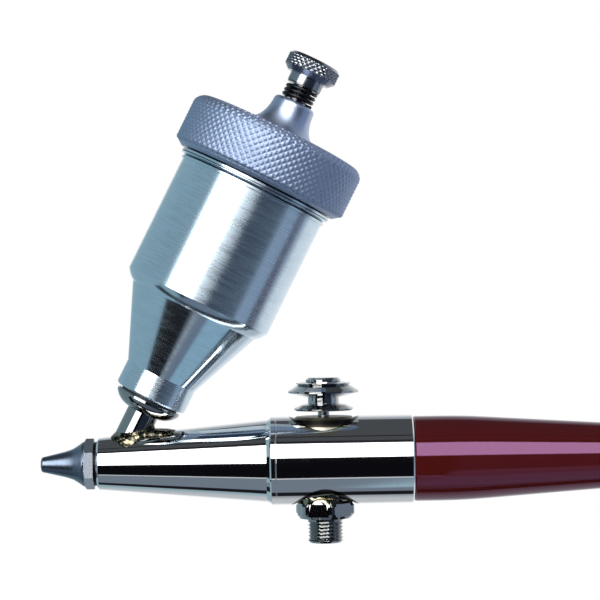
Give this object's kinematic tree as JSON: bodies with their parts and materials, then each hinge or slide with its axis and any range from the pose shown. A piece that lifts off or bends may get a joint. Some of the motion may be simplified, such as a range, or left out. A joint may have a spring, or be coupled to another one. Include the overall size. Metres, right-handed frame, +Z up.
{
  "type": "airbrush gun",
  "caption": "Hand-held air eraser style airbrush gun: tilted cup with a screw lid and metering knob feeds the nose, a push button opens the air valve, tapered handle behind.",
  "frame": {"origin": "centre of the air inlet's lower end face, on the axis of the trigger and the air valve", "axes": "+Z up along the valve axis, +X along the barrel towards the handle (the nose points to -X), +Y to the far side"},
  "size_m": [0.1521, 0.0332, 0.0888],
  "materials": {
    "chrome": "mirror-polished plating",
    "satin_aluminium": "turned, satin, slightly blue",
    "dark_nickel": "dark nickel plate",
    "nozzle_steel": "satin steel",
    "hard_insert": "ground carbide",
    "stainless_rod": "polished stainless",
    "black_spring_steel": "oil-blackened wire",
    "brass": "turned",
    "braze_metal": "plated over braze",
    "black_rubber": "matt",
    "red_lacquer": "glossy dark red"
  },
  "bodies": {
    "gun": {"nozzle_cap": "nozzle_steel", "nozzle_insert": "hard_insert", "nozzle_washer": "black_rubber", "inner_jet": "brass", "air_tube": "brass", "jet_packing_nut": "brass", "nose_seal": "black_rubber", "nose_body": "chrome", "cup_neck": "chrome", "neck_braze": "braze_metal", "barrel": "chrome", "trigger_bush": "dark_nickel", "trigger_seal": "black_rubber", "valve_body": "chrome", "valve_gasket": "black_rubber", "valve_spring": "black_spring_steel", "spring_retainer": "brass", "handle": "red_lacquer", "handle_spigot": "brass", "cup": "satin_aluminium", "cup_gasket": "black_rubber", "cup_outlet": "brass"},
    "trigger": {"trigger_button": "chrome", "trigger_stem": "chrome"},
    "plunger": {"valve_plunger": "brass", "valve_seal": "black_rubber"},
    "lid_seal": {"lid_gasket": "black_rubber"},
    "lid_assembly": {"lid": "satin_aluminium", "lid_hub": "satin_aluminium", "hub_nut": "brass", "rod_seal": "black_rubber", "knob_spring": "black_spring_steel"},
    "spring_seat": {"spring_washer": "stainless_rod"},
    "metering_screw": {"metering_rod": "stainless_rod", "metering_knob": "dark_nickel"}
  },
  "joints": [
    {"name": "trigger_press", "type": "slide", "parent": "gun", "child": "trigger", "axis": [0, 0, -1], "range_m": [0, 0.001], "stiffness_N_per_m": 400, "springref_m": -0.004},
    {"name": "plunger_press", "type": "slide", "parent": "gun", "child": "plunger", "axis": [0, 0, -1], "range_m": [0, 0.0011], "deforming": ["valve_spring"]},
    {"name": "lid_lift", "type": "slide", "parent": "gun", "child": "lid_seal", "axis": [0.4571, 0, 0.8894], "range_m": [0, 0.06]},
    {"name": "lid_turn", "type": "hinge", "parent": "lid_seal", "child": "lid_assembly", "pos_m": [-0.0313, 0, 0.02642], "axis": [0.4571, 0, 0.8894], "range_deg": [0, 540]},
    {"name": "metering_lift", "type": "slide", "parent": "lid_assembly", "child": "spring_seat", "axis": [0.4571, 0, 0.8894], "range_m": [0, 0.0015], "deforming": ["knob_spring"]},
    {"name": "metering_turn", "type": "hinge", "parent": "spring_seat", "child": "metering_screw", "pos_m": [-0.0313, 0, 0.02642], "axis": [0.4571, 0, 0.8894], "range_deg": [0, 720]}
  ],
  "couplings": [
    {"joint": "plunger_press", "follows": "trigger_press", "ratio": 1},
    {"joint": "metering_turn", "follows": "metering_lift", "rad_per_m": 8377.6}
  ]
}
